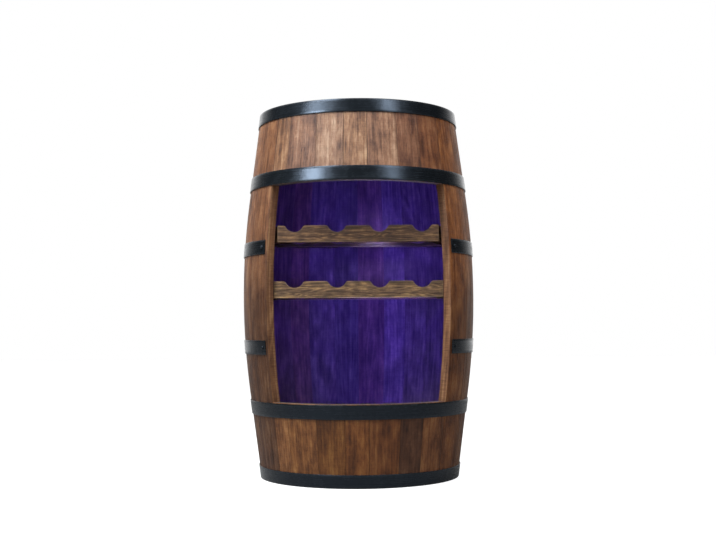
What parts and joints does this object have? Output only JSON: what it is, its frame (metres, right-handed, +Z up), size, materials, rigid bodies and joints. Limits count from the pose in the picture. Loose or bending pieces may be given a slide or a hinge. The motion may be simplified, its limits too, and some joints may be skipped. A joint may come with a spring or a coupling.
{
  "type": "barrel bar cabinet",
  "caption": "Coopered wooden barrel cabinet with an open front, steel hoops, two notched bottle racks and a strip light.",
  "frame": {"origin": "on the floor, under the middle of the cabinet's outer box; the barrel's own axis stands 7.1 mm in front of it", "axes": "+Z up, the open front faces -Y, +X to the viewer's right"},
  "size_m": [0.512, 0.5004, 0.8],
  "materials": {
    "stave_wood": "stained and waxed oak, brushed grain",
    "head_wood": "stained and waxed oak boards",
    "rack_wood": "planed and lightly stained",
    "hoop_steel": "satin black paint",
    "screw_steel": "blackened",
    "strip_lens": "frosted, lit violet",
    "black_plastic": "moulded, fine texture",
    "lead_jacket": "smooth round jacket"
  },
  "bodies": {
    "root": {"stave_upper_1": "stave_wood", "stave_upper_2": "stave_wood", "stave_upper_3": "stave_wood", "stave_upper_4": "stave_wood", "stave_upper_5": "stave_wood", "stave_upper_6": "stave_wood", "stave_upper_7": "stave_wood", "stave_lower_1": "stave_wood", "stave_lower_2": "stave_wood", "stave_lower_3": "stave_wood", "stave_lower_4": "stave_wood", "stave_lower_5": "stave_wood", "stave_lower_6": "stave_wood", "stave_lower_7": "stave_wood", "stave_full_1": "stave_wood", "stave_full_2": "stave_wood", "stave_full_3": "stave_wood", "stave_full_4": "stave_wood", "stave_full_5": "stave_wood", "stave_full_6": "stave_wood", "stave_full_7": "stave_wood", "stave_full_8": "stave_wood", "stave_full_9": "stave_wood", "stave_full_10": "stave_wood", "stave_full_11": "stave_wood", "stave_full_12": "stave_wood", "stave_full_13": "stave_wood", "stave_full_14": "stave_wood", "stave_full_15": "stave_wood", "stave_full_16": "stave_wood", "stave_full_17": "stave_wood", "stave_full_18": "stave_wood", "hoop_top": "hoop_steel", "hoop_upper_quarter": "hoop_steel", "hoop_upper_bilge": "hoop_steel", "hoop_lower_bilge": "hoop_steel", "hoop_lower_quarter": "hoop_steel", "hoop_bottom": "hoop_steel", "hoop_screw_upper_left": "screw_steel", "hoop_screw_upper_right": "screw_steel", "hoop_screw_lower_left": "screw_steel", "hoop_screw_lower_right": "screw_steel", "head_bottom": "head_wood", "head_top": "head_wood", "rack_upper_front_rail": "rack_wood", "rack_upper_rear_rail": "rack_wood", "rack_upper_left_cleat": "rack_wood", "rack_upper_right_cleat": "rack_wood", "rack_lower_front_rail": "rack_wood", "rack_lower_rear_rail": "rack_wood", "rack_lower_left_cleat": "rack_wood", "rack_lower_right_cleat": "rack_wood", "led_strip_upper": "strip_lens", "led_strip_lower": "strip_lens", "led_controller": "black_plastic", "power_inlet": "black_plastic", "lead_inlet": "lead_jacket", "lead_upper_strip": "lead_jacket", "lead_lower_strip": "lead_jacket"}
  },
  "joints": []
}
